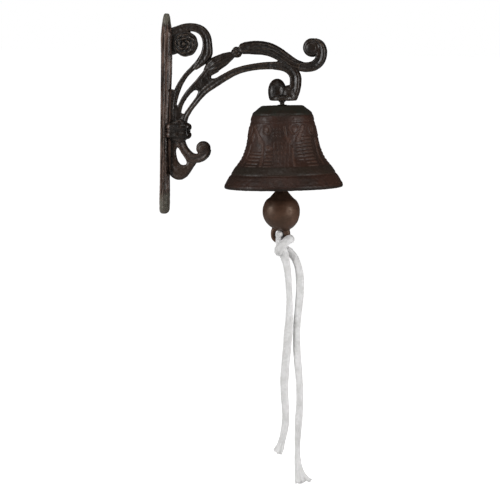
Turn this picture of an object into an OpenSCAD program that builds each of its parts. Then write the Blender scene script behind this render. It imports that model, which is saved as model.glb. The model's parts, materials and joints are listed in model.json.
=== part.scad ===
// Wall bell: a scrolled cast-iron bracket, a bell that turns on a bolt, and a
// ball clapper with a short cotton cord tied to it.
// The wall is the plane x = 0, the bracket reaches out along +X and +Z is up.

/* [Bracket] */
// Distance from the wall to the bolt where it enters the bell
reach = 123.5; // [122:0.5:130]
// Width of the wall plate between its two pads
plate_w = 21; // [18:0.5:22]
// Width of the wall plate across its pads
pad_w = 23; // [22:0.5:28]
// Thickness of the wall plate's slab
plate_t = 3.5; // [3:0.25:4.5]
// Height of the rib down the middle of the plate
rib_t = 1.5; // [1:0.25:2.5]
// Diameter of the two screw holes
screw_d = 5; // [4:0.5:6]
// Distance between the two screw holes
screw_pitch = 178; // [176:1:180]
// Depth of the scroll bands from side to side
band_d = 8; // [6:0.5:9]

/* [Bell] */
// Diameter of the bell's mouth
bell_d = 117; // [110:1:120]
// Height of the bell from crown to lip
bell_h = 80; // [78:1:84]
// Lean of the bolt and the bell, whose lip is higher away from the wall
bell_tilt = 2; // [0:0.5:3]
// Thickness of the bell's wall
bell_t = 4.5; // [3.5:0.25:5.5]
// Diameter of the bolt that carries the bell
bolt_d = 5; // [4:0.5:6]

/* [Clapper] */
// Diameter of the clapper's ball
ball_d = 36; // [34:0.5:38]
// Depth of the ball's centre below the bell's lip
ball_drop = 24; // [20:1:27]

/* [Cord] */
// Diameter of the cotton cord
cord_d = 7.4; // [6:0.1:7.8]

/* [Hidden] */

$fn = 64;
iron = [0.19, 0.16, 0.15];
bell_iron = [0.24, 0.18, 0.15];
steel = [0.45, 0.43, 0.41];
ball_iron = [0.31, 0.25, 0.21];
cotton = [0.85, 0.84, 0.82];

// All scroll lines are drawn for a reach of 123.5 mm and grow with the reach.
k = reach / 123.5;
rib_w = 10;
face_x = plate_t + rib_t;
gap = 0.3;

// Heights down the bell's axis
crown_z = 11.3;
boss_z = crown_z + 4.7;
lip_z = crown_z - bell_h;
crown_t = 5;
washer_t = 1.5;
nut_t = 4;
lock_t = 2.7;
washer_z = crown_z - crown_t - 0.2;
nut_z = washer_z - washer_t;
lock_z = nut_z - nut_t;
eye_r = 5;
eye_wire = 1.5;
eye_z = lock_z - lock_t - 1 - eye_r - eye_wire;
swing_z = eye_z - eye_r;
// The clapper hangs plumb under the eye, which the lean has moved outwards
hang_x = reach + (crown_z - eye_z) * sin(bell_tilt);
link_wire = 1.3;
link_r = eye_wire + link_wire + gap;
link_len = 12;
rock_z = swing_z - link_len;
loop_r = 4.5;
loop_wire = 1.5;
loop_z = rock_z + link_r - loop_r;
ball_z = lip_z - ball_drop;
ball_r = ball_d / 2;
eyelet_r = 7;
eyelet_wire = 2.6;
eyelet_z = ball_z - ball_r - 4.4;
cord_r = cord_d / 2;
tie_z = eyelet_z - eyelet_r;
tie_r = eyelet_wire + cord_r + gap;
knot_r = 8.5;
knot_z = tie_z - eyelet_wire - knot_r - 0.8;

// ---- curves ----
// A smooth run between two points of a list, with its neighbours on both sides
function mid_curve(a, b, c, d, t) =
    0.5 * (2 * b + (c - a) * t + (2 * a - 5 * b + 4 * c - d) * t * t
        + (3 * b - a - 3 * c + d) * t * t * t);
function near(p, i) = p[max(0, min(len(p) - 1, i))];
function curve(p, n) = concat(
    [for (i = [0:len(p) - 2]) for (j = [0:n - 1])
        mid_curve(near(p, i - 1), p[i], p[i + 1], near(p, i + 2), j / n)],
    [p[len(p) - 1]]);
function unit(v) = v / norm(v);

// A band along a line of [x, z, width] points
function side(q, s) = [for (i = [0:len(q) - 1])
    let (d = unit(near(q, i + 1) - near(q, i - 1)))
    let (e = unit([d[0], d[1]]))
    [q[i][0], q[i][1]] + [-e[1], e[0]] * s * q[i][2] / 2];
function backwards(v) = [for (i = [len(v) - 1:-1:0]) v[i]];
module band(line, steps = 4) {
    q = curve(line * k, steps);
    polygon(concat(side(q, 1), backwards(side(q, -1))));
}

// A flat shape drawn in x and z, made depth deep about y = 0
module slab(depth) rotate([90, 0, 0]) linear_extrude(depth, center = true) children();
// The same, drawn in y and z and standing on the wall
module wall_slab(t) rotate([90, 0, 90]) linear_extrude(t) children();
// A ring of round wire about the axis through its middle
module ring(r, wire) rotate_extrude() translate([r, 0]) circle(wire, $fn = 32);

// ---- scroll lines, [x, z, width] ----
volute_line = [
    [3, 80, 8], [13, 83.3, 7.5], [22, 86, 7.5], [31, 86.3, 7.5], [38.8, 83.5, 7.8],
    [43.6, 77.5, 8], [45.2, 69, 8.4], [44.4, 60.5, 11], [40, 54, 9], [35, 50, 4]
];
upper_stem_line = [
    [40, 55.5, 8], [35.3, 51, 5.4], [28.8, 45, 4.2], [22.9, 38.6, 3.8], [18.2, 31.3, 3.6],
    [14.9, 24, 3.6], [12, 15, 3.6], [10.4, 6, 4], [11, -3, 4.2], [13, -10, 4.5]
];
stem_line = [
    [16.6, -10, 4.5], [15.8, 0, 4], [16.9, 7, 3.8], [19.5, 13.3, 3.8], [23.8, 19.7, 4.2],
    [29, 25.5, 4.8], [35, 31.4, 5.6], [41, 37.5, 6.6], [47, 44.5, 7]
];
joint_line = [[33.8, 24.6, 7], [39.5, 28.6, 8], [45.5, 34.4, 8.5], [49, 38, 8]];
strand_line = [
    [20.6, -10, 4.8], [22.8, -3, 4.6], [25.2, 1.6, 4.4], [28.7, 6.7, 4.2], [33.2, 12.3, 4.3],
    [38.5, 19, 5], [44.8, 25.3, 6.2], [52.5, 30.8, 7], [59.5, 35.3, 7],
    [66, 39, 6.6], [73.5, 43, 6.3], [81.5, 45.8, 6.1], [90, 47.8, 6],
    [99, 49.2, 6.2], [108, 50, 6.6], [118, 50.3, 7]
];
calyx_line = [
    [46.8, 46.5, 11], [51.5, 49.3, 14], [57.5, 52.5, 13.4], [63.5, 55.8, 12.2], [73, 61, 8.5]
];
leaf_line = [
    [78, 63, 8], [85.5, 66.3, 11], [94, 67.3, 12.8], [103, 67, 12.8], [111, 65.3, 12.4],
    [119, 61.7, 11.8], [127, 56.9, 11], [134.5, 52.4, 10.2], [142, 50, 9]
];
tip_line = [
    [141, 50.2, 8.4], [147.5, 49.4, 8.4], [155, 51.2, 8], [160.3, 56.5, 8],
    [162.3, 64, 8], [160, 70.5, 8], [155, 73.6, 7]
];
hook_line = [
    [120, 50, 8], [127, 49, 9], [133, 45.5, 9.6], [136.6, 39.5, 10], [137, 32.5, 10],
    [134.5, 26, 10], [130, 22, 9]
];
web_line = [[8, -20, 7], [7.6, -8, 6.4], [7.4, 8, 5.4], [8.4, 19, 5.6], [9.8, 26, 4]];
tail_line = [
    [17.8, -22, 6.2], [19.4, -30, 6.4], [23.2, -36.3, 6.8], [28.4, -41.2, 7.8],
    [34.4, -42.9, 8.6], [39.8, -41.6, 8], [44, -38.2, 7.4], [45.8, -33.5, 6.6]
];
tail_leaf_line = [
    [31, -44, 7], [28.6, -50.8, 8.6], [23.2, -56.4, 11.6], [16.6, -57.9, 14.4],
    [10.8, -55, 13], [9.4, -46, 9.6], [9.2, -37, 8.6], [9.2, -25, 8.4]
];

// ---- flat outlines, in x and z, in the order in which they cut each other ----
rosette_at = [22.2, 70] * k;
rosette_r = 12.8 * k;
tip_at = [153.2, 68.3] * k;
tip_r = 9.2 * k;
tail_at = [42, -33.1] * k;
tail_r = 6.8 * k;
bead_at = [76, 62.6] * k;
bead_tilt = 24;
collar_lo = -24.5 * k;
collar_hi = -8.4 * k;
collar_x = 28.6 * k;
boss_r = 14;
boss_h = 11;
boss_off = 1;
lobe_at = [-4.5, 18];
lobe_r = 8.2;

module wall_side() translate([-100, -200]) square([100 + face_x, 400]);
module collar_zone() translate([0, collar_lo]) square([collar_x, collar_hi - collar_lo]);
module bead_zone() translate(bead_at) rotate(bead_tilt) square([8, 20], center = true);
module boss_zone() translate([reach, crown_z]) rotate(bell_tilt) {
    translate([boss_off - boss_r, boss_z - crown_z]) square([2 * boss_r, boss_h]);
    translate(lobe_at) circle(lobe_r);
}
module rosette_2d() difference() {
    union() {
        translate(rosette_at) circle(rosette_r);
        translate([0, 60 * k]) square([14 * k, 20 * k]);
    }
    wall_side();
}
module volute_2d() difference() {
    band(volute_line);
    rosette_2d();
    wall_side();
    collar_zone();
}
module upper_stem_2d() difference() {
    band(upper_stem_line);
    volute_2d();
    wall_side();
    collar_zone();
}
module web_2d() difference() {
    band(web_line);
    upper_stem_2d();
    wall_side();
    collar_zone();
}
module stem_2d() difference() {
    union() {
        band(stem_line);
        band(joint_line);
    }
    upper_stem_2d();
    collar_zone();
}
module strand_2d() difference() {
    band(strand_line);
    stem_2d();
    collar_zone();
}
module calyx_2d() difference() {
    band(calyx_line);
    volute_2d();
    upper_stem_2d();
    stem_2d();
    strand_2d();
    bead_zone();
}
module leaf_2d() difference() {
    band(leaf_line);
    bead_zone();
    strand_2d();
}
module hook_2d() difference() {
    band(hook_line);
    leaf_2d();
    strand_2d();
    boss_zone();
}
module tip_2d() difference() {
    band(tip_line);
    leaf_2d();
    hook_2d();
}
module tail_2d() difference() {
    band(tail_line);
    collar_zone();
}
module tail_leaf_2d() difference() {
    band(tail_leaf_line);
    tail_2d();
    web_2d();
    wall_side();
    collar_zone();
}

// ---- bracket ----
// Half width of the plate at a height: narrow in the middle, a pad at each end
function bulge(z, at, spread) = exp(-pow((z - at) / spread, 2));
function half_w(z) = plate_w / 2
    + (pad_w - plate_w) / 2 * (bulge(z, 76, 14) + bulge(z, -84, 13));
// How far the outline has closed at the pointed top and the square bottom
function top_close(z) = sqrt(max(0, 1 - pow(max(0, z - 72) / 28, 2)));
function foot_close(z) = sqrt(max(0, 1 - pow(max(0, -z - 92) / 8, 4)));
function plate_edge(z) = k * half_w(z) * top_close(z) * foot_close(z);
plate_heights = concat(
    [for (a = [0:9:81]) -92 - 8 * cos(a)],
    [for (z = [-92:6:72]) z],
    [for (a = [9:9:90]) 72 + 28 * sin(a)]);
module plate_2d() polygon(concat(
    [for (z = plate_heights) [plate_edge(z), z * k]],
    [for (z = backwards(plate_heights)) [-plate_edge(z), z * k]]));

module back_plate() color(iron) difference() {
    union() {
        wall_slab(plate_t) plate_2d();
        translate([0, 0, -76 * k]) wall_slab(face_x) translate([-rib_w / 2, 0])
            square([rib_w, 158 * k]);
    }
    for (s = [-1, 1]) translate([0, 0, s * screw_pitch / 2]) rotate([0, 90, 0]) {
        translate([0, 0, -1]) cylinder(h = plate_t + 2, d = screw_d);
        translate([0, 0, plate_t - 1.5]) cylinder(h = 1.5, d1 = screw_d, d2 = screw_d + 3);
        translate([0, 0, plate_t]) cylinder(h = 2, d = screw_d + 3);
    }
}
module root_web() color(iron) slab(band_d - 2) web_2d();
module drum(at, r, depth) translate([at[0], 0, at[1]]) rotate([90, 0, 0])
    cylinder(h = depth, r = r, center = true);
module rosette() color(iron) union() {
    slab(band_d) rosette_2d();
    drum(rosette_at, rosette_r - 2, band_d + 5);
}
module top_volute() color(iron) slab(band_d + 1) volute_2d();
module upper_stem() color(iron) slab(band_d - 2) upper_stem_2d();
module middle_stem() color(iron) slab(band_d - 2) stem_2d();
module lower_strand() color(iron) slab(band_d - 1) strand_2d();
module arm_calyx() color(iron) slab(band_d + 3) calyx_2d();
module arm_bead() color(iron) translate([bead_at[0], 0, bead_at[1]])
    rotate([0, 90 - bead_tilt, 0]) rotate_extrude() intersection() {
        union() {
            translate([2 * k, 0]) circle(4);
            translate([0, -4]) square([2 * k, 8]);
        }
        translate([0, -4]) square([8, 8]);
    }
module arm_leaf() color(iron) slab(band_d + 5) leaf_2d();
module tip_curl() color(iron) union() {
    slab(band_d + 2) tip_2d();
    drum(tip_at, tip_r, band_d + 5);
}
module hook() color(iron) slab(band_d + 2) hook_2d();
// The bolt's own frame: its origin is where the bolt enters the bell
module on_bolt(z) translate([reach, 0, crown_z]) rotate([0, -bell_tilt, 0])
    translate([0, 0, z - crown_z]) children();
module hook_boss() color(iron) difference() {
    union() {
        on_bolt(boss_z) translate([boss_off, 0, 0]) cylinder(h = boss_h, r = boss_r);
        on_bolt(crown_z + lobe_at[1]) translate([lobe_at[0], 0, 0]) sphere(lobe_r);
    }
    on_bolt(boss_z - 1) cylinder(h = 10, d = bolt_d);
}
module collar_disc(z) translate([face_x, 0, z]) linear_extrude(7.2 * k) union() {
    translate([0, -8.5 * k]) square([collar_x - face_x - 8.5 * k, 17 * k]);
    translate([collar_x - face_x - 8.5 * k, 0]) circle(8.5 * k);
}
module collar() color(iron) union() {
    collar_disc(collar_lo);
    collar_disc(collar_hi - 7.2 * k);
    translate([face_x, -7 * k, collar_lo + 2]) cube([collar_x - face_x - 8 * k, 14 * k, 12.5 * k]);
    translate([collar_x - 9 * k, 0, collar_lo + 2]) cylinder(h = 12.5 * k, r = 7.4 * k);
}
module tail_scroll() color(iron) union() {
    slab(band_d + 1) tail_2d();
    drum(tail_at, tail_r, band_d + 2);
}
module tail_leaf() color(iron) slab(band_d) tail_leaf_2d();

// ---- bolt, nuts and washer ----
module hanger_bolt() color(steel) union() {
    on_bolt(eye_z + eye_r) cylinder(h = boss_z + 9 - eye_z - eye_r, d = bolt_d);
    on_bolt(eye_z) rotate([90, 0, 0]) ring(eye_r, eye_wire);
}
module nut(z, t) color(steel) on_bolt(z - t) difference() {
    cylinder(h = t, r = bolt_d * 0.92, $fn = 6);
    translate([0, 0, -1]) cylinder(h = t + 2, d = bolt_d);
}
module bearing_washer() color(steel) on_bolt(nut_z) difference() {
    cylinder(h = washer_t, r = bolt_d + 2.5);
    translate([0, 0, -1]) cylinder(h = washer_t + 2, r = bolt_d / 2 + 0.1);
}
module support_nut() nut(nut_z, nut_t);
module lock_nut() nut(lock_z, lock_t);

// ---- bell ----
// [radius, depth below the crown] down the outside, as parts of the size of the bell
bell_side = [
    [0.497, 0.09], [0.524, 0.14], [0.56, 0.26], [0.595, 0.39], [0.632, 0.51],
    [0.7, 0.635], [0.825, 0.76], [0.935, 0.88], [0.98, 0.94], [1, 0.975]
];
bell_r = bell_d / 2;
bell_wall = [for (p = curve(bell_side, 3)) [p[0] * bell_r, -p[1] * bell_h, 2 * bell_t]];
bell_outer = [for (p = bell_wall) [p[0], p[1]]];
// The inside follows the outside at the wall's thickness and ends on the lip
bell_inner = [for (p = side(bell_wall, -1)) if (p[1] < -crown_t - 5) p];
module bell_shell() color(bell_iron) on_bolt(crown_z) difference() {
    rotate_extrude($fn = 96) polygon(concat(
        [[0, 0], [bell_r * 0.35, 0]], bell_outer,
        [[bell_r - 1, -bell_h], [bell_r - bell_t, -bell_h]], backwards(bell_inner),
        [[bell_inner[0][0] - 4, -crown_t], [0, -crown_t]]));
    translate([0, 0, -bell_h / 2]) cylinder(h = bell_h, r = bolt_d / 2 + 0.5);
}

// ---- clapper ----
module on_axis(z) translate([hang_x, 0, z]) children();
module clapper_link() color(steel) on_axis(0) rotate([0, 0, 90]) rotate([90, 0, 0]) {
    for (s = [1, -1]) translate([0, s > 0 ? swing_z : rock_z + link_r]) intersection() {
        ring(link_r, link_wire);
        translate([-10, s > 0 ? 0 : -20, -5]) cube([20, 20, 10]);
    }
    for (s = [1, -1]) translate([s * link_r, rock_z + link_r, 0]) rotate([-90, 0, 0])
        cylinder(h = swing_z - rock_z - link_r, r = link_wire, $fn = 32);
}
module clapper_shank() color(steel) union() {
    on_axis(loop_z) rotate([90, 0, 0]) ring(loop_r, loop_wire);
    on_axis(ball_z) cylinder(h = loop_z - loop_r - ball_z, r = 2.4);
}
module clapper_ball() color(ball_iron) difference() {
    union() {
        on_axis(ball_z) sphere(ball_r);
        on_axis(ball_z + 9) cylinder(h = ball_r - 6, r1 = 13.5, r2 = 5);
        on_axis(ball_z + ball_r) cylinder(h = 5, r = 5);
        on_axis(eyelet_z) rotate([90, 0, 0]) ring(eyelet_r, eyelet_wire);
    }
    on_axis(ball_z) cylinder(h = 40, r = 2.4);
}

// ---- cord ----
// Rings of one tube along a route of [x, y, z] points
function across(d) = unit(cross(d, [0, 1, 0.02]));
function tube_rings(q, r, sides) = [for (i = [0:len(q) - 1])
    let (d = unit(near(q, i + 1) - near(q, i - 1)))
    let (u = across(d))
    let (v = cross(d, u))
    for (a = [0:sides - 1]) q[i] + r * (u * cos(360 * a / sides) + v * sin(360 * a / sides))];
module tube(route, r, sides = 8) {
    n = len(route);
    polyhedron(tube_rings(route, r, sides), concat(
        [[for (a = [sides - 1:-1:0]) a]],
        [for (i = [0:n - 2]) for (a = [0:sides - 1])
            [i * sides + a, i * sides + (a + 1) % sides,
                (i + 1) * sides + (a + 1) % sides, (i + 1) * sides + a]],
        [[for (a = [0:sides - 1]) (n - 1) * sides + a]]));
}
// Routes of the two hanging tails, from inside the knot downwards, [x, y, z]
left_route = [
    [128.5, -2, -136], [131, -3, -143], [132.6, -3.5, -150], [133.8, -3.5, -160],
    [134.8, -3.5, -172], [135.2, -3, -184], [135, -3, -198], [134.3, -3, -212],
    [133.4, -3, -226], [132.5, -3, -238], [131.6, -3, -250], [131.1, -3, -262],
    [131.4, -3, -274], [132.4, -3, -285], [133.2, -3, -296], [132.6, -3, -306],
    [130.9, -3, -316], [128.8, -3, -324], [126.4, -3, -331]
];
right_route = [
    [130, 3, -131], [134, 3, -134], [138.4, 2.5, -139], [141.7, 2, -146],
    [143.8, 1.5, -155], [144.6, 1, -166], [144.2, 1, -178], [143.2, 1, -190],
    [142.2, 1, -201], [141.8, 1, -213], [142.1, 1, -226], [143.2, 1, -239],
    [144.6, 1, -252], [145.7, 1, -266], [146.2, 1, -280], [145.8, 1, -294],
    [145.1, 1, -308], [144.6, 1, -322], [144.8, 1, -336], [145.7, 1, -346], [147, 1, -357]
];
module cord_loop() color(cotton) on_axis(tie_z) rotate([0, 90, 0]) ring(tie_r, cord_r);
module cord_knot() color(cotton) on_axis(knot_z) sphere(knot_r);
module cord_left() color(cotton) tube([for (p = left_route) p + [reach - 123.5, 0, 0]], cord_r);
module cord_right() color(cotton) tube([for (p = right_route) p + [reach - 123.5, 0, 0]], cord_r);

back_plate();
root_web();
rosette();
top_volute();
upper_stem();
middle_stem();
lower_strand();
arm_calyx();
arm_bead();
arm_leaf();
tip_curl();
hook();
hook_boss();
collar();
tail_scroll();
tail_leaf();
hanger_bolt();
bearing_washer();
support_nut();
lock_nut();
bell_shell();
clapper_link();
clapper_shank();
clapper_ball();
cord_loop();
cord_knot();
cord_left();
cord_right();
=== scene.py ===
"""Looks of the wall bell: a scrolled cast-iron bracket, a relief bell, a ball clapper, a cord."""

import json
import math

import bpy
import numpy as np
from mathutils import Matrix, Vector, noise


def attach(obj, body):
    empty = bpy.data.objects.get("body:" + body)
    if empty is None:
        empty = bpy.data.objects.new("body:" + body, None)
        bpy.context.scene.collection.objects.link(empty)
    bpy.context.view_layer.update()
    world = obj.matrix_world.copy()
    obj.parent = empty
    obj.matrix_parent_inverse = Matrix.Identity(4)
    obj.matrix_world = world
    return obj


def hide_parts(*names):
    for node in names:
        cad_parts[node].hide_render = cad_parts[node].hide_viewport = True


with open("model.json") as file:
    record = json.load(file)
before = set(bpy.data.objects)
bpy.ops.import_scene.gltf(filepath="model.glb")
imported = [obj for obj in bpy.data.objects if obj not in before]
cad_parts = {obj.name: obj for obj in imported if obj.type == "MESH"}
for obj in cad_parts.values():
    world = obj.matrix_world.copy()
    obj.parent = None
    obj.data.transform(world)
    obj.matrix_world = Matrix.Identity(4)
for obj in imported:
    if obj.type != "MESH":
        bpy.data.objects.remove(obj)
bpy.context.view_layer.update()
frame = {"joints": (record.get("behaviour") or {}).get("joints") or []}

MM = 0.001
TAU = 2 * math.pi
SIDEWAYS = np.array((0, 1, 0))


# ---- places, in mm
def joint_mm(name):
    found = next(j for j in frame["joints"] if j["name"] == name)
    return np.array(found["pos_m"]) / MM, np.array(found["axis"])


BELL_TOP, BELL_UP = joint_mm("bell_turn")
BELL_OUT = np.array((BELL_UP[2], 0, -BELL_UP[0]))
SWING, _ = joint_mm("clapper_swing")
ROCK, _ = joint_mm("clapper_rock")
HANG_X = SWING[0]


def on_bolt(points):
    """Points in the leaning frame of the bolt, about the bell's top, put in the model's frame."""
    p = np.asarray(points, dtype=float)
    return BELL_TOP + p[..., :1] * BELL_OUT + p[..., 1:2] * SIDEWAYS + p[..., 2:] * BELL_UP


# ---- mesh helpers
def mesh_object(name, points, faces):
    """A smooth mesh object from points in mm."""
    mesh = bpy.data.meshes.new(name)
    mesh.from_pydata((np.asarray(points, dtype=float).reshape(-1, 3) * MM).tolist(), [], faces)
    mesh.validate()
    mesh.polygons.foreach_set("use_smooth", [True] * len(mesh.polygons))
    mesh.update()
    thing = bpy.data.objects.new(name, mesh)
    bpy.context.collection.objects.link(thing)
    return thing


def grid_faces(rows, columns, closed=True):
    """Quads between rows of points, each row a closed ring, and from the last row to the first."""
    row = np.arange(rows if closed else rows - 1)[:, None]
    a, b = row * columns, (row + 1) % rows * columns
    j = np.arange(columns)[None]
    k = (j + 1) % columns
    quads = np.stack([a + j, a + k, b + k, b + j], axis=-1)
    return quads.reshape(-1, 4).tolist()


def capped(rows, columns):
    """Quads between rows of points, with a flat cap on the first row and on the last."""
    last = (rows - 1) * columns
    ends = [list(range(columns - 1, -1, -1)), list(range(last, last + columns))]
    return grid_faces(rows, columns, closed=False) + ends


def solid(name, points, closed=False):
    """A mesh object from rings of points, capped at its two ends or closed on itself."""
    faces = grid_faces if closed else capped
    return mesh_object(name, points, faces(*points.shape[:2]))


def angles(count):
    return TAU * np.arange(count) / count


def unit(vectors):
    return vectors / np.linalg.norm(vectors, axis=-1)[..., None]


def rings_about(line, across, other, radius, count):
    """Rings of points about a line, each in the plane of two directions across it."""
    a = angles(count)[:, None]
    ring = across[..., None, :] * np.cos(a) + other[..., None, :] * np.sin(a)
    return line[:, None] + ring * radius


def swept(r, a, h):
    """Points at a radius, an angle and a height about Z."""
    return np.stack(np.broadcast_arrays(r * np.cos(a), r * np.sin(a), h), axis=-1)


def turned(profile, columns, shape=None):
    """Points of a round shape, from [radius, height] down its side. shape changes the radius."""
    p = np.asarray(profile, dtype=float)
    a, r, h = angles(columns), p[:, :1], p[:, 1:]
    return swept(shape(r, a, h) if shape else r, a, h)


def oval(radius, half, turns):
    """[radius, height] down the side of a ball or a stretched one, at angles from its top."""
    return np.column_stack([radius * np.sin(turns), half * np.cos(turns)])


def smooth_line(points, steps):
    """A smooth line through points, with steps between each two."""
    p = np.asarray(points, dtype=float)
    p = np.vstack([p[:1], p, p[-1:]])
    t = (np.arange(steps) / steps)[:, None]
    runs = []
    for a, b, c, d in zip(p[:-3], p[1:-2], p[2:-1], p[3:]):
        bend = (2 * a - 5 * b + 4 * c - d) * t**2 + (3 * b - a - 3 * c + d) * t**3
        runs.append(0.5 * (2 * b + (c - a) * t + bend))
    return np.vstack(runs + [p[-1:]])


def lengths_along(q):
    return np.concatenate([[0], np.cumsum(np.linalg.norm(np.diff(q, axis=0), axis=1))])


def resampled(q, far, count):
    """A line cut into equal lengths, where far is how far along it each of its points lies."""
    at = np.linspace(0, far[-1], count)
    return np.column_stack([np.interp(at, far, values) for values in q.T])


def even_line(points, gap, axes=3):
    """A smooth line through points, cut a fixed gap apart as measured over its first axes."""
    q = smooth_line(points, 24)
    far = lengths_along(q[:, :axes])
    return resampled(q, far, max(3, int(round(far[-1] / gap)) + 1))


def smoothstep(lo, hi, x):
    t = np.clip((x - lo) / (hi - lo), 0, 1)
    return t * t * (3 - 2 * t)


def hump(x, width):
    """1 at 0, falling smoothly to nothing about two widths from it."""
    return np.exp(-((x / width) ** 2))


def power(x, n):
    return np.sign(x) * np.abs(x) ** n


def joined(name, things):
    """One object out of several."""
    bpy.ops.object.select_all(action="DESELECT")
    for thing in things:
        thing.select_set(True)
    bpy.context.view_layer.objects.active = things[0]
    bpy.ops.object.join()
    things[0].name = things[0].data.name = name
    return things[0]


def apply_modifiers(thing):
    bpy.context.view_layer.objects.active = thing
    for modifier in list(thing.modifiers):
        bpy.ops.object.modifier_apply(modifier=modifier.name)
    return thing


def fused(name, parts, voxel, softening):
    """Melts overlapping closed shapes into one skin, with soft fillets where they meet."""
    thing = joined(name, parts)
    remesh = thing.modifiers.new("fuse", "REMESH")
    remesh.mode = "VOXEL"
    remesh.voxel_size = voxel * MM
    remesh.use_smooth_shade = True
    soften = thing.modifiers.new("soften", "SMOOTH")
    soften.factor = 0.5
    soften.iterations = softening
    return apply_modifiers(thing)


def vertex_arrays(mesh):
    count = len(mesh.vertices)
    points, normals = np.empty((2, count * 3))
    mesh.vertices.foreach_get("co", points)
    mesh.vertex_normals.foreach_get("vector", normals)
    return points.reshape(-1, 3), normals.reshape(-1, 3)


def rough_up(thing, size, depth, seed):
    """Moves a skin in and out a little, as a casting comes out of its sand."""
    mesh = thing.data
    points, normals = vertex_arrays(mesh)
    shift = Vector((seed, -seed, 2 * seed))
    move = [noise.noise(Vector(p) / (size * MM) + shift) for p in points.tolist()]
    points = points + normals * (np.array(move)[:, None] * depth * MM)
    mesh.vertices.foreach_set("co", points.ravel())
    mesh.update()


def store(thing, name, values):
    """Keeps a number for each point of a mesh, for its finish."""
    kept = thing.data.attributes.new(name, "FLOAT", "POINT")
    kept.data.foreach_set("value", np.asarray(values, dtype=np.float32).ravel())


SHARP_BEND = 0.9


def mark_wear_and_shade(thing, passes=3):
    """Stores how far each point stands out on an edge (1) or lies in a corner (-1); the finish rubs
    the edges and paints shade into the corners.
    """
    mesh = thing.data
    points, normals = vertex_arrays(mesh)
    count = len(points)
    ends = np.empty(len(mesh.edges) * 2, dtype=np.int64)
    mesh.edges.foreach_get("vertices", ends)
    a, b = ends.reshape(-1, 2).T
    at = np.concatenate([a, b])
    near = np.maximum(np.bincount(at, minlength=count), 1)

    def around(values):
        both = np.concatenate([values[b], values[a]])
        return np.bincount(at, weights=both, minlength=count) / near

    mean = np.column_stack([around(points[:, i]) for i in range(3)])
    edge = np.linalg.norm(points[a] - points[b], axis=1).mean()
    bend = -2 * np.sum((mean - points) * normals, axis=1) / edge**2 * MM
    for _ in range(passes):
        bend = 0.5 * bend + 0.5 * around(bend)
    store(thing, "wear", np.clip(bend / SHARP_BEND, -1, 1))


# ---- camera
PHOTO_MM = 500  # what the photograph's side spans at the object
AZIMUTH, ELEVATION, ROLL = (math.radians(a) for a in (18.0, 6.0, 0.8))
DISTANCE, AIM_RIGHT, AIM_DOWN = 2.0, 0.086, 0.136


def make_camera():
    """Looks as the photograph does: a long lens, a little from above and outside."""
    flat, rise = math.cos(ELEVATION), math.sin(ELEVATION)
    back = Vector((math.sin(AZIMUTH) * flat, -math.cos(AZIMUTH) * flat, rise))
    level = Vector((math.cos(AZIMUTH), math.sin(AZIMUTH), 0))
    upright = back.cross(level)
    right = level * math.cos(ROLL) + upright * math.sin(ROLL)
    up = upright * math.cos(ROLL) - level * math.sin(ROLL)
    target = right * AIM_RIGHT - up * AIM_DOWN
    data = bpy.data.cameras.new("camera")
    data.lens = data.sensor_width * DISTANCE / (PHOTO_MM * MM)
    camera = bpy.data.objects.new("camera", data)
    bpy.context.collection.objects.link(camera)
    place = Matrix((right, up, back)).transposed().to_4x4()
    place.translation = target + back * DISTANCE
    camera.matrix_world = place
    bpy.context.scene.camera = camera


make_camera()

# ---- cords
# The two tails' routes are part.scad's
CORD_D, KNOT_D = 7.4, 8.6
LEFT_ROUTE = [
    (128.5, -2, -136), (131, -3, -143), (132.6, -3.5, -150), (133.8, -3.5, -160),
    (134.8, -3.5, -172), (135.2, -3, -184), (135, -3, -198), (134.3, -3, -212),
    (133.4, -3, -226), (132.5, -3, -238), (131.6, -3, -250), (131.1, -3, -262),
    (131.4, -3, -274), (132.4, -3, -285), (133.2, -3, -296), (132.6, -3, -306),
    (130.9, -3, -316), (128.8, -3, -324), (126.4, -3, -331),
]
RIGHT_ROUTE = [
    (130, 3, -131), (134, 3, -134), (138.4, 2.5, -139), (141.7, 2, -146),
    (143.8, 1.5, -155), (144.6, 1, -166), (144.2, 1, -178), (143.2, 1, -190),
    (142.2, 1, -201), (141.8, 1, -213), (142.1, 1, -226), (143.2, 1, -239),
    (144.6, 1, -252), (145.7, 1, -266), (146.2, 1, -280), (145.8, 1, -294),
    (145.1, 1, -308), (144.6, 1, -322), (144.8, 1, -336), (145.7, 1, -346), (147, 1, -357),
]
# One strand from the left tail up in front of the eye, through it, down behind, round
# everything from the right, and out at the back as the right tail
KNOT_ROUTE = [
    (129.8, -2.2, -139.5), (128.8, -4.4, -132.5), (126.6, -7.8, -126.4), (124.2, -8, -120.6),
    (123.2, -4.8, -116.6), (123.6, 0, -115.2), (124.8, 5.4, -116.4), (128, 8.4, -119),
    (131.6, 6.6, -120.6), (133.4, 0.6, -119.8), (132.4, -5.6, -121), (128.8, -10, -125.2),
    (125.6, -10.6, -129.2), (124.5, -6.6, -132.2), (124.8, 0.6, -132.6), (127, 4.6, -131),
    (130, 4, -131.6), (134, 3, -134),
]
PLAITS, PLAIT_PITCH = 8, 17.0


def frames_along(q):
    """Two directions across a line at each of its points, turning as little as they can."""
    ahead = unit(np.gradient(q, axis=0))
    u = np.cross(ahead[0], (0.02, 1, 0.01))
    across, other = [], []
    for d in ahead:
        u = unit(u - d * (u @ d))
        across.append(u)
        other.append(np.cross(d, u))
    return np.array(across), np.array(other)


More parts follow.
